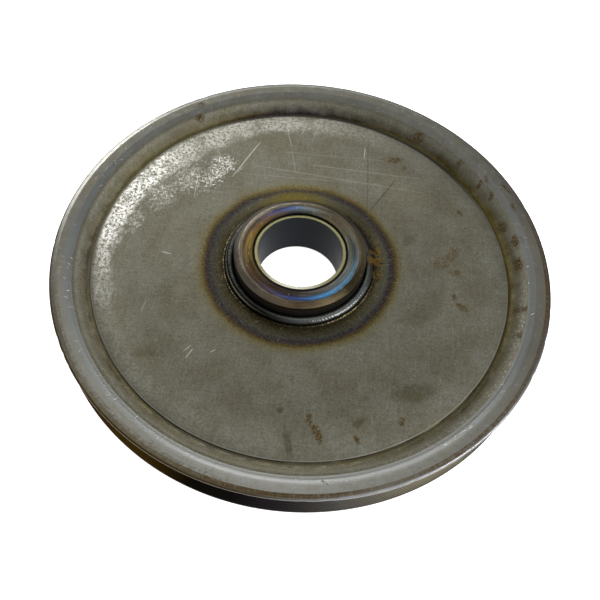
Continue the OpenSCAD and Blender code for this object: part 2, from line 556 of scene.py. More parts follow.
# %% Add the scuffed ring, scratches, smears and rust
scuff_turn = plate.levels([
    (60, 0.06), (84, 0.25), (98, 0.42), (132, 0.46), (152, 0.95), (176, 1.0), (190, 0.60),
    (206, 0.16), (270, 0.06)])
scuff_in = 129 + plate.step(plate.turn, 150, 185) * 5 - plate.turns(120, 150, 14) * 4
scuff_edge = plate.radius - scuff_in + plate.sway(9, 15, 4.0, 0.65)
scuff_ring = (plate.step(scuff_edge, -3.0, 5.0) * plate.step(plate.radius, 148.4, 145.6)
              * (1.0 - in_rim) * scuff_turn)
scuff_fan = blots(plate, [
    (134, 104, 22, 10, 62, 0.9), (127, 110, 13, 8, 150, 1.0), (143, 114, 18, 14, 60, 0.65),
    (156, 120, 17, 12, 76, 0.6), (170, 127, 14, 7, 90, 0.5)], ragged=3.0)
pits = plate.patches(2.4, 0.46, 0.51, 6.0, 0.85)
hatch = plate.streaks(1.1, 0.24, 4.0, 0.7).most(plate.streaks(0.22, 1.1, 4.0, 0.7, z=3.0))
hatch = plate.step(hatch, 0.50, 0.60)
scuff = (scuff_ring * (0.04 + 1.0 * pits) * (0.45 + 0.55 * plate.patches(10, 0.30, 0.56, 3.0))
         ).most(scuff_fan * hatch * (0.35 + 0.65 * pits))
# Painted shade darkens the plate's edge on the far side, and a painted highlight lines it on the
# near side.
painted_edge_shade = plate.radii(146.2, 149.8, 0.8) * plate.turns(32, 122, 16)
painted_edge_highlight = plate.radii(148.3, 149.0, 0.15) * near_side

light_lines = scratches(plate, [
    ((110, 121), (129, 94), 0.55, 0.75), ((68, 114), (70, 126), 0.5, 0.8),
    ((46, 125), (90, 94), 0.9, 0.22), ((40, 118), (118, 100), 0.9, 0.20),
    ((55, 98), (122, 92), 0.7, 0.16), ((60, 122), (104, 108), 0.6, 0.18),
    ((99, 128), (98, 112), 0.6, 0.35), ((98, 110), (97, 84), 0.5, 0.25),
    ((88, 140), (90, 118), 0.5, 0.3), ((92, 142), (94, 126), 0.6, 0.35),
    ((150, 98), (141, 110), 0.5, 0.5), ((189, 140), (200, 147), 0.5, 0.5),
    ((231, 102), (232, 110), 0.6, 0.8), ((229.5, 101), (229.5, 108), 0.5, 0.7),
    ((237, 96), (238, 92), 0.4, 0.7), ((182, 100), (183, 92), 0.5, 0.8),
    ((204, 112), (208, 118), 0.4, 0.5)])
dark_lines = scratches(plate, [
    ((71, 138), (49, 72), 0.9, 0.45), ((52, 111), (47, 71), 1.1, 0.6),
    ((38, 74), (30, 96), 1.2, 0.2)])
random_nicks = nicks(plate, 9.0, 3.2, 0.22, 0.35).most(nicks(plate, 21.0, 8.0, 0.2, 0.4) * 0.6)
slope_dents = (nicks(plate, 2.4, 1.5, 0.45, 0.7) * plate.turns(290, 356, 10)
               * plate.radii(155.4, 159.2, 0.8))
bright = (light_lines.most(random_nicks * 0.4) * (1.0 - in_rim)).most(slope_dents)

smears = blots(plate, [
    (272, 137, 12, 3.0, 105, 0.55), (269, 116, 3, 2.5, 20, 0.6), (312, 126, 20, 8, 20, 0.5),
    (292, 128, 6, 3.5, 40, 0.5), (222, 128, 10, 5, 10, 0.3), (200, 96, 16, 8, 60, 0.2),
    (335, 92, 14, 7, 10, 0.22), (20, 84, 9, 5, 50, 0.3)])
rust = blots(plate, [
    (6, 103, 8, 6, 30, 0.42), (10, 112, 9, 5, 60, 0.5), (2, 112, 6, 4, 0, 0.5),
    (27, 131, 4, 2.2, 120, 0.7), (58, 127, 9, 4, 10, 0.65), (53, 124, 3, 2, 90, 0.7),
    (278, 121, 6, 2.6, 100, 0.75), (280, 131, 8, 3.0, 112, 1.0), (290, 138, 4, 2.0, 120, 0.7),
    (303, 137, 4, 3.2, 70, 0.7), (348, 118, 6, 3, 140, 0.7), (351, 112, 4, 2.6, 90, 0.6),
    (57, 156, 6, 3.4, 150, 1.0), (33, 157, 3.5, 2, 60, 0.9), (28, 158, 4, 2, 90, 0.8),
    (126, 158, 4.5, 2.6, 30, 0.8), (223, 157, 5, 2.5, 130, 0.45), (5, 156, 3, 8, 10, 0.75),
    (18, 155, 6, 3, 110, 0.6), (42, 158, 4, 3, 40, 0.6), (12, 158, 2.5, 7, 10, 0.75),
    (351, 157, 3, 6, 80, 0.5), (343, 158, 3, 5, 70, 0.5), (176, 157, 2, 7, 0, 0.3)])
rust = (rust * 1.5).clamped() * plate.patches(1.5, 0.42, 0.53, 5.0, 0.8)
crust = blots(plate, [
    (6, 57, 6, 4, 80, 1.0), (15, 58, 5, 3, 70, 0.8), (-5, 58, 5, 3, 90, 0.6),
    (24, 60, 4, 2, 60, 0.4)], ragged=1.8)
crust = crust * plate.patches(0.8, 0.44, 0.54, 5.0, 0.8)
print("rust, smears and scratches laid out")

# %% [markdown]
# Each mark changes colour, gloss and relief together. A scratch is brighter and smoother, and
# it is a furrow a few hundredths of a millimetre deep. Rust is brown, dull and not metallic.

# %% Put the mill plate together
fine = plate.grain(1.4, 3.0, 0.75)
drawn_x, drawn_y = plate.streaks(0.05, 0.75), plate.streaks(0.75, 0.05)
speck = plate.grain(1.1, 4.0, 0.8)
mottle = 1.05 * fine + 1.60 * speck + 0.36 * drawn_x + 0.36 * drawn_y - 0.685
colour = plate.coats(plate.scale(plate_colour, mottle), [
    (plate.patches(1.7, 0.47, 0.56, 4.0, 0.8) * 0.22, tint(112, 98, 66)),
    (smears, tint(64, 59, 32)),
    (dark_lines, tint(58, 54, 40)),
    (scuff, bare(205, 204, 196)),
    (bright, bare(196, 194, 182)),
    (painted_edge_shade * 0.85, tint(34, 32, 30)),
    (painted_edge_highlight * 0.5, tint(160, 159, 150)),
    (rust, plate.cloudy(1.6, tint(56, 42, 16), tint(100, 78, 38))),
    (crust, plate.cloudy(0.7, tint(50, 36, 4), tint(150, 114, 30)))])
rust = rust.most(crust)
rough = 0.48 + 0.16 * fine - 0.26 * scuff - 0.15 * bright + 0.25 * rust
relief = (0.035 * fine + 0.05 * plate.grain(3.5, 3.0) - 0.05 * bright
          + 0.22 * scuff_ring.most(scuff_fan) * plate.grain(1.5, 3.0, 0.7)
          + 0.06 * rust * plate.grain(0.8) + 0.02 * drawn_x + 0.02 * drawn_y)
mill_plate = plate.done(colour, rough, 1.0 - 0.7 * rust, relief, shine=0.1)

# %% [markdown]
# ## Rolled and faced steel
#
# The side of the rim was skimmed on a lathe, then a roller burnished a narrow band at its
# inner edge. Both are smoother than the plate and cooler in colour, with fine rings round the
# axle. Short dents that lie every way are knocks from handling, and brown creeps in from the
# bevel here and there.

# %% Make the faced ring's finish
faced = Finish("faced_rim")
lathe = faced.rings(0.35, 90.0)
broad = faced.rings(2.4, 50.0)
patch = faced.grain(14, 4.0)
# Painted reflection: the ring is made lighter round its near side. On the near side the foot of the
# band is made darker.
painted_near_reflection = faced.turns(205, 335, 25)
band = faced.radii(BAND_R + 0.2, FACE_R, 0.5) * (1.0 - faced.turns(22, 150, 25) * 0.75)
band_foot = faced.radii(BAND_R, 162.2, 0.7) * painted_near_reflection
# Painted highlight across the band's outer edge and the start of the faced ring, on the near side.
painted_shoulder_highlight = faced.radii(162.6, 166.0, 0.8) * faced.turns(246, 322, 16)
knocks = nicks(faced, 5.0, 2.2, 0.25, 0.3)
creep = (faced.radii(169.0, 172.0, 0.9) * faced.turns(194, 262, 14)
         * faced.patches(2.4, 0.43, 0.54, 5.0, 0.8))
dirt = blots(faced, [
    (280, 164, 3, 0.8, 150, 0.8), (124, 167, 4, 3, 30, 0.8), (256, 169, 2, 1, 30, 0.6),
    (243, 168, 2, 1.2, 80, 0.5), (28, 170, 8, 2.4, 125, 1.0), (22, 166, 4, 2.4, 100, 0.8),
    (33, 162, 5, 2.4, 100, 0.7), (12, 161, 3, 5, 20, 0.45)])
dirt = (faced.patches(1.5, 0.42, 0.54, 5.0, 0.8) * dirt).most(creep * 0.4)
# Painted reflection in these coats: lighter round the near side, most of all in front, and at the
# right edge.
face_colour = faced.coats(tint(90, 88, 79), [
    (faced.step(patch, 0.36, 0.66), tint(98, 98, 92)),
    (painted_near_reflection, tint(126, 125, 116)),
    (faced.turns(250, 298, 18) * 0.7, tint(148, 147, 140)),
    (faced.step(faced.right, 0.92, 1.0) * 0.7, tint(114, 112, 102)),
    (faced.patches(4, 0.58, 0.74, 5.0, 0.7) * 0.3, tint(76, 70, 54)),
    (faced.patches(6, 0.48, 0.60, 5.0, 0.7) * 0.25, tint(112, 104, 80)),
    (band * 0.7, tint(104, 107, 107)),
    (band_foot * 0.5, tint(74, 73, 67)),
    (painted_shoulder_highlight * 0.5, tint(160, 160, 155))])
colour = faced.coats(faced.scale(face_colour, 0.78 + 0.22 * lathe + 0.22 * broad), [
    (faced.patches(1.6, 0.58, 0.66, 4.0, 0.8) * 0.45, tint(66, 62, 50)),
    (dirt, tint(66, 50, 26)),
    (knocks * 0.6, bare(190, 190, 182))])
rough = 0.40 - 0.14 * band + 0.08 * patch + 0.2 * dirt - 0.1 * knocks
relief = 0.016 * lathe + 0.03 * broad - 0.05 * knocks + 0.03 * faced.grain(1.2)
faced_rim = faced.done(colour, rough, 1.0 - 0.7 * dirt, relief, shine=0.1)

# %% [markdown]
# The outer bevel and the lip take the most handling. Their colour also carries painted light: a
# reflection, lightest on the bevel at the far left, and a near white highlight along the lip's
# crown on the near right. Damp has got at them, and brown streaks and blots follow the edge.

# %% Make the bevel's finish
lip = Finish("rim_bevel")
edge_rust = lip.levels([
    (0, 0.9), (12, 0.75), (24, 0.5), (50, 0.12), (80, 0.0), (172, 0.0), (192, 0.5), (222, 0.5),
    (250, 0.65), (262, 0.95), (282, 0.9), (292, 0.25), (303, 0.9), (325, 0.85), (338, 0.45),
    (352, 0.9), (360, 0.9)])
rust_line = lip.within(lip.radius + (lip.rings(1.2, 30.0) - 0.5) * 2.4, 170.9, 173.6, 0.5)
edge_rust = edge_rust * rust_line * (0.4 * lip.step(lip.rings(0.9, 25.0, 4.0), 0.34, 0.56)
                                     + 0.6 * lip.patches(2.4, 0.43, 0.53, 5.0, 0.8))
pitted = lip.patches(0.9, 0.56, 0.68, 4.0, 0.7)
# Painted reflection: the bevel is made lightest at the far left.
bevel_colour_and_painted_reflection = lip.tints(lip.turn, [
    (0, 96, 90, 76), (50, 118, 116, 108), (90, 140, 140, 130), (150, 150, 150, 142),
    (178, 134, 133, 124), (205, 112, 108, 94), (225, 142, 136, 116), (270, 104, 96, 74),
    (300, 116, 114, 104), (360, 96, 90, 76)])
# Painted highlight: the crown is made near white on the near right.
crown_colour_and_painted_highlight = lip.tints(lip.turn, [
    (0, 72, 64, 52), (20, 84, 79, 70), (90, 104, 104, 97), (165, 106, 104, 95),
    (188, 54, 49, 36), (205, 70, 58, 26), (240, 76, 64, 32), (266, 86, 78, 60),
    (284, 160, 160, 160), (335, 138, 138, 140), (350, 84, 76, 63), (360, 72, 64, 52)])
lip_colour_and_painted_light = lip.blend(lip.step(lip.radius, 173.2, 174.0), bevel_colour_and_painted_reflection, crown_colour_and_painted_highlight)
mottle = (0.26 + 0.34 * lip.rings(0.5, 60.0) + 0.56 * lip.grain(1.6, 5.0, 0.7)
          + 0.58 * lip.grain(7.0, 3.0))
colour = lip.coats(lip.scale(lip_colour_and_painted_light, mottle), [
    (pitted * 0.35, tint(60, 56, 48)),
    (edge_rust, lip.cloudy(2.2, tint(50, 36, 18), tint(92, 68, 36), 4.0))])
rough = 0.24 + 0.12 * lip.grain(3.0) + 0.35 * edge_rust
relief = 0.02 * lip.rings(0.4, 60.0) - 0.05 * pitted + 0.05 * edge_rust * lip.grain(0.8)
rim_bevel = lip.done(colour, rough, 1.0 - 0.7 * edge_rust, relief, shine=0.1)

# %% [markdown]
# ## The rope groove
#
# The groove was cut last, so its flanks are bare steel, with slanting chatter marks from the
# tool. Cutting oil has dried on part of it in brown. Its colour also carries painted shade,
# nearly black just left of the near side, and painted light on the near right and the right.

# %% Make the groove's finish
CHATTER_MARKS = 544   # tool marks once round

groove = Finish("rope_groove")
# Dried oil in browns, with painted shade nearly black just left of the near side and painted light
# on the near right and the right.
oil_and_painted_light = groove.tints(groove.turn, [
    (0, 120, 118, 112), (40, 96, 92, 80), (90, 88, 80, 62), (150, 80, 70, 44),
    (200, 84, 68, 34), (226, 78, 58, 16), (240, 84, 62, 18), (252, 26, 22, 14),
    (262, 34, 30, 28), (272, 62, 56, 58), (284, 100, 96, 88), (300, 84, 80, 66),
    (330, 84, 80, 66), (360, 120, 118, 112)])
chatter = (groove.turn * math.radians(CHATTER_MARKS) + groove.z * 6.0
           + groove.grain(6, 2.0) * 5.0).calc("SINE") * 0.5 + 0.5
chatter = chatter * groove.turns(280, 300, 6).most(groove.patches(22, 0.56, 0.66, 2.0) * 0.5)
circles = groove.rings(0.45, 90.0, 3.0)
colour = groove.scale(oil_and_painted_light, 0.50 + 0.50 * circles + 0.22 * groove.grain(3.0, 4.0)
                      + 0.50 * chatter)
rough = 0.26 + 0.16 * groove.grain(8, 3.0) + 0.10 * circles
relief = 0.02 * chatter + 0.02 * circles
rope_groove = groove.done(colour, rough, 1.0, relief)

# %% [markdown]
# ## Turned hub
#
# The hub is round bar turned on a lathe, so it has fine rings. The welding heat ran up into
# it and left temper colours: straw and brown where it stayed coolest, purple, then blue where
# it got hottest. They change round the hub with the order the weld was laid in. The outer
# ring also carries painted light, lightest at the far left and darkest on the near right, and
# a painted highlight runs, broken, along the end face's outer corner on the far and left side.

# %% Set out the hub's temper colours
INNER_END, MIDDLE_END = (36.2, 38.6), (40.5, 41.7)   # where one band of colour fades to the next

turned = Finish("turned_hub_steel")
temper_r = turned.radius + (turned.sway(9, 2.2, 2.0) + turned.far * 1.3)


def round_the_hub(stops):
    """A colour that follows the angle round the hub and meets itself at the end."""
    return turned.tints(turned.turn + turned.sway(5, 30.0, 4.0, 0.65),
                        [*stops, (360, *stops[0][1:])])


inner_tint = round_the_hub([
    (0, 104, 106, 96), (35, 72, 66, 50), (60, 70, 62, 47), (85, 55, 56, 51),
    (105, 52, 52, 54), (125, 60, 47, 35), (150, 88, 68, 30), (180, 98, 82, 38),
    (205, 76, 62, 32), (235, 56, 46, 37), (265, 54, 47, 41), (295, 86, 84, 78),
    (325, 112, 114, 108)])
middle_tint = round_the_hub([
    (0, 64, 73, 76), (30, 82, 80, 66), (60, 80, 72, 54), (85, 80, 87, 88),
    (100, 58, 72, 100), (118, 56, 58, 86), (140, 74, 62, 62), (165, 90, 74, 46),
    (195, 84, 70, 46), (225, 64, 50, 40), (250, 54, 50, 66), (275, 40, 56, 92),
    (300, 50, 92, 124), (330, 74, 102, 118)])
# Temper colour with painted light: lightest at the far left, darkened on the near right.
outer_tint_and_painted_light = round_the_hub([
    (0, 90, 81, 63), (45, 72, 63, 49), (90, 92, 85, 70), (135, 118, 111, 98),
    (180, 98, 91, 79), (225, 98, 90, 77), (270, 104, 90, 68), (300, 80, 71, 53),
    (325, 46, 40, 26), (345, 72, 64, 46)])
# Painted highlight, broken, along the end face's outer corner on the far and left side.
painted_corner_highlight = (turned.within(turned.radius + turned.far, 42.3, 43.6, 0.3)
               * turned.turns(80, 232, 24) * turned.step(turned.rings(1.6, 9.0, 5.0), 0.46, 0.60))
temper_and_painted_light = turned.coats(inner_tint, [
    (turned.step(temper_r, *INNER_END), middle_tint),
    (turned.step(temper_r, *MIDDLE_END), outer_tint_and_painted_light),
    (painted_corner_highlight * 0.30, tint(160, 154, 140))])
print("temper colours change at", INNER_END, "and", MIDDLE_END, "mm")

# %% Put the hub's finish together
fine_turning = turned.rings(0.22, 120.0)
coarse_turning = turned.step(turned.rings(1.7, 60.0, 4.0), 0.40, 0.60)
side_dark = turned.step(turned.height, 15.6, 11.5)
bore_shadow = turned.step(turned.radius + turned.far * 0.9, 34.3, 33.4)
hub_nicks = nicks(turned, 6.0, 1.6, 0.2, 0.25)
turning = 0.54 + 0.36 * fine_turning + 0.56 * coarse_turning
colour = turned.coats(turned.scale(temper_and_painted_light, turning), [
    (side_dark, turned.cloudy(5, tint(20, 17, 12), tint(44, 38, 28))),
    (bore_shadow, tint(24, 22, 20)),
    (hub_nicks * 0.6, bare(196, 192, 176))])
rough = 0.36 + 0.14 * turned.grain(2.0) + 0.25 * side_dark - 0.08 * hub_nicks
relief = 0.016 * fine_turning + 0.03 * coarse_turning + 0.02 * turned.grain(0.8)
turned_hub_steel = turned.done(colour, rough, 1.0 - 0.4 * side_dark, relief)

# %% [markdown]
# ## Weld metal
#
# The bead was laid with a shielded wire, so it is smooth, glassy and almost black. Its colour
# carries painted light: light grey highlights along its top, strongest on the near right, a thin
# light line on its left, a broken gold highlight at the toe, and painted shade that darkens its
# left side. There is a golden crust where the bead was closed.

# %% Make the bead's finish
weld = Finish("weld_metal")
soot = weld.grain(2.6, 4.0)
# Painted highlights along the bead's top, strongest on the near right.
painted_crest_highlight = weld.step(weld.radius, 47.4, 48.8) * weld.step(weld.radius, 51.8, 50.2)
painted_silver_highlight = (weld.step(weld.radius, 47.2, 48.6) * weld.step(weld.radius, 53.8, 52.4)
          * weld.turns(268, 345, 26))
# A painted thin light line on the bead's left side.
painted_line_highlight = (weld.within(weld.radius + weld.sway(3.0, 1.0), 52.3, 53.0, 0.3)
          * weld.turns(140, 235, 20))
toe = weld.step(weld.radius + weld.sway(1.4, 1.2), 53.8, 54.6)
# A painted gold highlight in a broken line at the toe, strongest on the left and the near right.
painted_toe_glint = (toe * weld.step(weld.radius, 55.2, 54.7) * weld.patches(0.9, 0.44, 0.62, 3.0)
         * (weld.turns(150, 228, 15) + weld.turns(290, 345, 15) * 0.8 + 0.16))
crust = blots(weld, [(6, 52, 5, 4, 80, 1.0), (14, 53, 3, 2, 60, 0.9), (-6, 54, 4, 1.6, 90, 0.7)])
crust = crust * weld.patches(1.0, 0.36, 0.56, 4.0, 0.7)
# Painted shade darkens the bead's left side, and the painted highlights are laid over it.
colour = weld.coats(tint(24, 22, 13), [
    (soot, tint(50, 47, 35)),
    (weld.turns(165, 262, 20) * 0.85, tint(14, 12, 6)),
    (painted_crest_highlight * 0.12, tint(140, 144, 142)),
    (painted_silver_highlight * 0.50, tint(140, 144, 142)),
    (painted_line_highlight * 0.75, tint(158, 154, 132)),
    (painted_toe_glint, bare(168, 156, 116)),
    (crust, weld.cloudy(0.7, tint(48, 34, 4), tint(152, 116, 30)))])
rough = 0.22 + 0.20 * soot + 0.10 * toe + 0.4 * crust
relief = 0.05 * weld.grain(1.6, 3.0) + 0.10 * crust * weld.grain(0.6)
weld_metal = weld.done(colour, rough, 1.0 - 0.7 * crust, relief, shine=0.1)

# %% [markdown]
# ## The bush
#
# The bush is a strip of bronze-coated steel rolled into a sleeve. Its cut end shows as a pale
# brass ring. Inside is a lining a third of a millimetre thick, dark and waxy, which runs
# against the pin without grease.

# %% Make the bush's two finishes
def painted_end_reflection(finish):
    """Where the cut end gets a painted reflection, on its near side."""
    return finish.turns(236, 292, 22) * 0.75


brass = Finish("bush_brass")
cut = brass.rings(0.18, 60.0)
tarnish = brass.grain(3.0, 4.0)
# The cut end is painted lighter on its near side, as a reflection.
colour = brass.coats(tint(116, 112, 74), [
    (tarnish, tint(152, 149, 108)),
    (painted_end_reflection(brass), tint(226, 224, 204))])
colour = brass.scale(colour, 0.85 + 0.3 * cut)
bush_brass = brass.done(colour, 0.34 + 0.2 * tarnish, 1.0 - 0.15 * tarnish,
                        0.012 * cut + 0.02 * brass.grain(0.7))

waxy = Finish("bush_dark_lining")
drawn = waxy.grain(1.0, 3.0, at=waxy.join(waxy.x * 0.9, waxy.y * 0.9, waxy.z * 0.08))
clouds = waxy.grain(12, 3.0)
colour = waxy.blend(clouds, (0.004, 0.005, 0.007), (0.008, 0.011, 0.016))
colour = waxy.scale(colour, 0.8 + 0.4 * drawn)
cut_end = waxy.step(waxy.height, BUSH_TOP - 0.25, BUSH_TOP - 0.05)
# The lining's cut end is painted lighter on its near side, as a reflection.
colour = waxy.blend(cut_end, colour, waxy.blend(painted_end_reflection(waxy), tint(128, 124, 86),
                                                tint(210, 207, 184)))
bush_dark_lining = waxy.done(colour, 0.38 + 0.10 * clouds, cut_end,
                             0.01 * drawn + 0.01 * waxy.grain(0.6), shine=0.08)

# %% [markdown]
# ## Turning a section into a solid
#
# A lathe makes a shape by moving a section round an axle, and the same is done here. The
# section is a closed line of points. A corner can be given a small radius, because a perfectly
# sharp edge never catches the light as a real one does.

# %% Draw a section
def arc(middle, radius, start, end, steps):
    """Points on a circle, from one angle to another, in degrees."""
    angles = np.radians(np.linspace(start, end, steps + 1))
    return [(middle[0] + radius * math.cos(a), middle[1] + radius * math.sin(a)) for a in angles]


def eased(before, corner, after, radius, steps=3):
    """The corner between two straight lines, rounded to a radius."""
    p, c, n = (np.array(v, float) for v in (before, corner, after))
    u, v = (p - c) / np.linalg.norm(p - c), (n - c) / np.linalg.norm(n - c)
    half = math.acos(np.clip(u @ v, -1, 1)) / 2
    back = radius / math.tan(half)
    start, end = c + u * back, c + v * back
    middle = c + (u + v) / np.linalg.norm(u + v) * radius / math.sin(half)
    out = []
    for t in np.linspace(0, 1, steps + 1):
        spoke = start * (1 - t) + end * t - middle
        out.append(tuple(middle + spoke / np.linalg.norm(spoke) * radius))
    return out


def span(start, end, steps):
    """Points along a straight line, without its two ends."""
    return [tuple(np.array(start) + (np.array(end) - np.array(start)) * i / steps)
            for i in range(1, steps)]


# %% [markdown]
# The lathe takes that section round. A `form` function may move each point a little, so that
# the surface is not mathematically perfect. A `finish_at` function says which finish a face
# gets, from the middle of the face.

# %% Turn it
SHARP = math.radians(38)   # a sharper bend than this shows as an edge


def turned_solid(name, section, around, form=None, finishes=(), finish_at=None):
    """Revolves a closed section of (radius, height) in millimetres into a mesh object."""
    section = np.array(section)
    ahead = np.roll(section, -1, axis=0)
    area = (section[:, 0] * ahead[:, 1] - ahead[:, 0] * section[:, 1]).sum() / 2
    if area < 0:
        section = section[::-1]
    count = len(section)
    angle = np.arange(around) * 2 * math.pi / around
    r, a = np.meshgrid(section[:, 0], angle)
    z, _ = np.meshgrid(section[:, 1], angle)
    if form:
        r, z = form(r, z, a)
    points = np.stack([r * np.cos(a), r * np.sin(a), z], axis=-1).reshape(-1, 3) * MM
    i, j = np.meshgrid(np.arange(around), np.arange(count), indexing="ij")
    i2, j2 = (i + 1) % around, (j + 1) % count
    quads = np.stack([i * count + j, i2 * count + j, i2 * count + j2, i * count + j2], axis=-1)
    mesh = bpy.data.meshes.new(name)
    mesh.from_pydata(points.tolist(), [], quads.reshape(-1, 4).tolist())
    for material in finishes:
        mesh.materials.append(material)
    if finish_at:
        middle = (section + np.roll(section, -1, axis=0)) / 2
        index = np.array([finish_at(*m) for m in middle], dtype=np.int32)
        mesh.polygons.foreach_set("material_index", np.tile(index, around))
    mesh.shade_smooth()
    mesh.set_sharp_from_angle(angle=SHARP)
    print(f"{name}: {count} points in the section, {len(mesh.polygons)} faces")
    return add_object(name, mesh)


# %% [markdown]
# ## The forged disc
#
# Web and rim are one piece of steel. The section runs from the hole, over the web to its
# edge, down into the valley, up the forged slope, over the band, the faced ring and the bevel,
# round the lip and down the groove. The lower half is its mirror image.

# %% Draw the disc's section
MID_Z = 0.01   # just above the middle plane, so that a point and its mirror image are two


def disc_half():
    """The upper half of the disc's section, from the hole to the bottom of the groove."""
    web_corner, foot = (EDGE_R, WEB_Z), (EDGE_R, VALLEY_Z)
    rise = BAND_Z - VALLEY_Z
    run_in = (FACE_Z - BAND_Z) / (FACE_R - BAND_R) * (BAND_R - VALLEY_R) / rise
    slope = [(VALLEY_R + (BAND_R - VALLEY_R) * t,
              VALLEY_Z + rise * (t * t * (3 - 2 * t) - run_in * t * t * (1 - t)))
             for t in np.linspace(0, 1, 17)]
    bevel_end = (LIP_R, LIP_Z + LIP_ROUND)
    lip_end = math.degrees(FLANK) - 90
    tangent = (GROOVE_MID - GROOVE_ROUND * math.sin(FLANK), GROOVE_ROUND * math.cos(FLANK))
    lip_arc = arc((LIP_R, LIP_Z), LIP_ROUND, 90, lip_end, 9)
    return [(HOLE_R, MID_Z), (HOLE_R, WEB_Z),
            *span((HOLE_R, WEB_Z), web_corner, 11),
            *eased((HOLE_R, WEB_Z), web_corner, foot, 0.45),
            (EDGE_R, VALLEY_Z + 0.35), (EDGE_R + 0.3, VALLEY_Z),
            *slope,
            *span((BAND_R, BAND_Z), (FACE_R, FACE_Z), 3),
            *eased((BAND_R, BAND_Z), (FACE_R, FACE_Z), (BEVEL_R, SIDE_Z), 3.0, 2),
            *span((FACE_R, FACE_Z), (BEVEL_R, SIDE_Z), 3),
            *eased((FACE_R, FACE_Z), (BEVEL_R, SIDE_Z), bevel_end, 2.0, 2),
            *span((BEVEL_R, SIDE_Z), bevel_end, 2),
            *lip_arc,
            *span(lip_arc[-1], tangent, 3),
            *arc((GROOVE_MID, 0), GROOVE_ROUND, 90 + math.degrees(FLANK), 177, 6)]


def mirrored(half):
    """The half with its own mirror image, as one closed line."""
    return half + [(r, -z) for r, z in reversed(half)]


disc_section = mirrored(disc_half())
print("disc section:", len(disc_section), "points")

# %% [markdown]
# Forging leaves slow waves. The fillet and valley rise and fall by a tenth or two round the
# wheel, the web is not quite flat, and the lip has small knocks. Sums of a few sine waves with
# seeded phases make them, so that they are the same every time.

# %% Give it its forged unevenness
DISC_STEPS = 700   # sections round the wheel
dice = np.random.default_rng(41)


def waves(angle, counts, rng):
    """A smooth random curve round the wheel, within about -1 to 1."""
    return sum(np.sin(angle * n + rng.uniform(0, 2 * math.pi)) * rng.uniform(0.5, 1)
               for n in counts) / (0.75 * len(counts))


def bell(value, middle, width):
    """1 at the middle, falling to 0 a few widths away."""
    return np.exp(-((value - middle) / width) ** 2)


def round_from(angle, turn):
    """How far round an angle is from another, from minus half a turn to half a turn."""
    return np.angle(np.exp(1j * (angle - turn)))


LIP_KNOCKS = [(turn, dice.uniform(0.006, 0.02), dice.uniform(0.1, 0.35))
              for turn in dice.uniform(0, 2 * math.pi, 26)]


FILLET_MID, WEB_MID = 154.0, 105.0   # middles of the fillet and of the web, by radius
SKIN_Z = 3.0                         # a point higher than this is on one of the side faces


def forge(r, z, angle):
    """Moves points of the perfect disc by a few tenths of a millimetre."""
    side = np.sign(z)
    slow, quick = waves(angle, (2, 3, 5), dice), waves(angle, (23, 41, 67), dice)
    step_wave = waves(angle, (3, 7, 12, 31), dice)
    fillet = bell(r, FILLET_MID, 4.0) * (np.abs(z) > SKIN_Z)
    web = bell(r, WEB_MID, 30.0)
    edge = bell(r, EDGE_R, 0.8) * (np.abs(z) > VALLEY_Z + 0.2)
    z = z + side * (fillet * (0.16 * slow + 0.05 * quick) + web * 0.12 * waves(angle, (1, 2), dice)
                    - edge * 0.05 * (1 + quick))
    r = r + edge * 0.20 * step_wave
    for turn, width, depth in LIP_KNOCKS:
        near = bell(round_from(angle, turn), 0, width)
        r = r - near * depth * bell(r, OUTER_R, 0.9) * (z > 0)
    return r, z


MILL, FACED, BEVEL, GROOVE = range(4)   # the finishes, in the order the disc holds them
SLOPE_R, SLOPE_Z, BAND_FOOT_Z = 158.0, 9.0, 12.0   # a point on the slope, and below the band


def disc_finish(r, z):
    """Which finish a face of the disc gets."""
    z = abs(z)
    if z > SKIN_Z and r < BAND_R + 0.1 and (r < SLOPE_R or z > SLOPE_Z):
        return MILL
    if z > LIP_Z - 0.6:
        return FACED if r < BEVEL_R else BEVEL
    if r < EDGE_R:
        return MILL
    return FACED if r < FACE_R and z > BAND_FOOT_Z else GROOVE


forged_disc = turned_solid("forged_disc", disc_section, DISC_STEPS, forge,
                           (mill_plate, faced_rim, rim_bevel, rope_groove), disc_finish)
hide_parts("sheave_disc")
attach(forged_disc, "root")

# %% [markdown]
# ## The hub
#
# The same lathe makes the hub. Each end face has a shallow turned step and eased corners, and
# the bore has a lead-in that lets the bush start straight.

# %% Turn the hub
BORE_LEAD, BEVEL_IN, BEVEL_LOW = 0.5, 43.0, 16.7
RING_IN, RING_OUT, RING_DEEP = 36.2, 40.9, 0.12   # the shallow turned step in the end face
HUB_STEPS = 360


def hub_half():
    """The upper half of the hub's section, from its bore to its side."""
    lead_top, face_end = (BUSH_R + BORE_LEAD, HUB_TOP), (BEVEL_IN, HUB_TOP)
    side_top = (HUB_R, BEVEL_LOW)
    return [(BUSH_R, MID_Z), (BUSH_R, 10.0), (BUSH_R, HUB_TOP - BORE_LEAD),
            *eased((BUSH_R, HUB_TOP - BORE_LEAD), lead_top, face_end, 0.15, 2),
            (RING_IN, HUB_TOP), (RING_IN + 0.3, HUB_TOP - RING_DEEP),
            (RING_OUT - 0.3, HUB_TOP - RING_DEEP), (RING_OUT, HUB_TOP),
            *eased(lead_top, face_end, side_top, 0.9, 4),
            *span(face_end, side_top, 3),
            *eased(face_end, side_top, (HUB_R, 0), 0.5, 3),
            (HUB_R, 12.0), (HUB_R, 6.0)]


turned_hub = turned_solid("turned_hub", mirrored(hub_half()), HUB_STEPS, None,
                          (turned_hub_steel,))
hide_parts("hub")
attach(turned_hub, "root")

# %% [markdown]
# ## The weld beads
#
# A bead freezes in ripples, each a crescent that bows back towards where the arc came from.
# The form below lifts the surface by a slanted wave whose phase bends across the bead. The
# width wanders a little, and where the end of the bead ties into its start there is a crater.

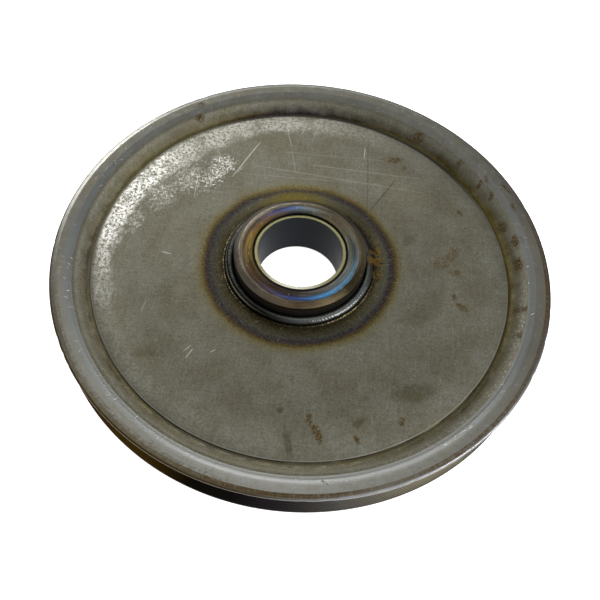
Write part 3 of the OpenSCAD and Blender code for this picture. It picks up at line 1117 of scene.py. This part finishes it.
# %% Lay the beads
RIPPLE_PITCH = 2.2
RIPPLES = round(2 * math.pi * BEAD_R / RIPPLE_PITCH)
TIE_IN = math.radians(10)
FLARE = ((54.3, 5.32), (54.7, 5.16), (55.1, 5.06))   # where the toe thins out on the plate
TOE_R, SINK = 55.3, 0.02                             # the toe's end, and how far it is let in
HALF_ARC, BOW = 67.0, 2.4   # degrees from crown to edge, and how many ripples an edge trails
RISE, BASE = 0.17, 0.10     # height of a ripple, and how far its foot is let down
CRATER, LUMP = 0.9, 0.35    # depth and height of the tie-in's crater and lump
BEAD_STEPS = 1500


def bead_section():
    """The bead over the corner between hub and web, with a thin flared toe."""
    start = math.degrees(math.acos((HUB_R - BEAD_R) / BEAD_ROUND))
    crown = arc((BEAD_R, WEB_Z), BEAD_ROUND, start, 9, 16)
    return [(HUB_R + SINK, WEB_Z - SINK), (HUB_R + SINK, WEB_Z + 1.5), *crown, *FLARE,
            (TOE_R, WEB_Z - SINK)]


def rippled(seed):
    """A form function that ripples a bead."""
    rng = np.random.default_rng(seed)
    shift = rng.uniform(0, 2 * math.pi)

    def form(r, z, angle):
        out_r, out_z = r - BEAD_R, z - WEB_Z
        away = np.hypot(out_r, out_z)
        across = np.degrees(np.arctan2(out_z, out_r)) / HALF_ARC - 1.0
        crown = np.clip(out_z / 3.0, 0, 1) * (away < BEAD_ROUND + 0.3)
        phase = angle / (2 * math.pi) * RIPPLES
        phase = phase - BOW * across ** 2 + 1.1 * waves(angle, (9, 17, 29), rng) + shift
        saw = phase % 1.0
        scale = np.sin(saw * math.pi) ** 0.7 * (1 - 0.5 * saw)
        lift = RISE * scale - BASE + 0.13 * waves(angle, (5, 11, 19, 43), rng)
        gap = round_from(angle, TIE_IN)
        lift = lift - CRATER * bell(gap, 0, 0.035) + LUMP * bell(gap, -0.11, 0.05)
        r = r + crown * lift * out_r / np.maximum(away, 0.1)
        z = z + crown * lift * out_z / np.maximum(away, 0.1)
        toe = np.clip((r - 52.5) / 1.5, 0, 1)
        r = r + toe * (0.28 * waves(angle, (6, 13, 37, 71), rng))
        return r, z

    return form


for side, seed in (("upper", 7), ("lower", 19)):
    bead = turned_solid(f"rippled_bead_{side}", bead_section(), BEAD_STEPS, rippled(seed),
                        (weld_metal,))
    if side == "lower":
        flip = np.empty(len(bead.data.vertices) * 3)
        bead.data.vertices.foreach_get("co", flip)
        flip[2::3] *= -1
        bead.data.vertices.foreach_set("co", flip)
        bead.data.flip_normals()
    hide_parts(f"weld_bead_{side}")
    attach(bead, "root")

# %% [markdown]
# ## Spatter
#
# Where the bead was closed, the arc spat. Small drops froze on the plate beside it and have
# since rusted. Each is a flattened ball with its own bumps, half sunk into the steel, and all
# of them are one mesh.

# %% Scatter the drops
def drops(name, spots, rng):
    """One mesh of flattened, uneven balls. A spot is (turn, radius, size, side)."""
    ball = bmesh.new()
    bmesh.ops.create_icosphere(ball, subdivisions=2, radius=1.0)
    shape = np.array([v.co for v in ball.verts])
    corners = np.array([[v.index for v in face.verts] for face in ball.faces])
    ball.free()
    points, faces = [], []
    for count, (turn, radius, size, side) in enumerate(spots):
        bumps = shape * (1 + rng.uniform(-0.16, 0.16, (len(shape), 1)))
        middle = np.array([*at(turn, radius), side * (WEB_Z + 0.15 * size)])
        stretch = size * np.array([1.0, rng.uniform(0.7, 1.2), 0.6])
        points.append((bumps * stretch + middle) * MM)
        faces.append(corners + count * len(shape))
    mesh = bpy.data.meshes.new(name)
    mesh.from_pydata(np.concatenate(points).tolist(), [], np.concatenate(faces).tolist())
    mesh.materials.append(weld_metal)
    mesh.shade_smooth()
    print(f"{name}: {len(spots)} drops")
    return add_object(name, mesh)


SPATTER_R = 55.2   # the drops start at the toe of the bead
arc_rng = np.random.default_rng(5)
for side, name in ((1, "upper"), (-1, "lower")):
    near_tie_in = [(arc_rng.normal(6, 13), SPATTER_R + abs(arc_rng.normal(0, 2.6)),
                    arc_rng.uniform(0.2, 0.55), side) for _ in range(70)]
    elsewhere = [(arc_rng.uniform(0, 360), SPATTER_R + abs(arc_rng.normal(0, 5)),
                  arc_rng.uniform(0.12, 0.3), side) for _ in range(40)]
    spatter = drops(f"spatter_{name}", near_tie_in + elsewhere, arc_rng)
    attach(spatter, "root")

# %% [markdown]
# ## The bush's finishes
#
# The bush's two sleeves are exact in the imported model, so they stay as they are and only take
# their finishes.

# %% Finish the bush
for node, material in (("bush_shell", bush_brass), ("bush_lining", bush_dark_lining)):
    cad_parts[node].material_slots[0].material = material
    print(node, "takes", material.name)

# %% [markdown]
# ## The floor
#
# The wheel rests on its hub, so the floor is level with the hub's lower face. It is plain,
# nearly white and a little bright by itself, which keeps the shadow under the wheel soft.

# %% Lay the floor
HALF = 3.0   # half the floor's width, in metres

floor_mesh = bpy.data.meshes.new("studio_floor")
floor_mesh.from_pydata([(-HALF, -HALF, 0), (HALF, -HALF, 0), (HALF, HALF, 0), (-HALF, HALF, 0)],
                       [], [(0, 1, 2, 3)])
floor = add_object("studio_floor", floor_mesh)
floor.location.z = cad_box[0].z
paper = bpy.data.materials.new("white_paper")
paper.use_nodes = True
shader = paper.node_tree.nodes["Principled BSDF"]
shader.inputs["Base Color"].default_value = (0.86, 0.86, 0.86, 1)
shader.inputs["Roughness"].default_value = 0.9
shader.inputs["Emission Color"].default_value = (1, 1, 1, 1)
shader.inputs["Emission Strength"].default_value = 0.85
floor_mesh.materials.append(paper)
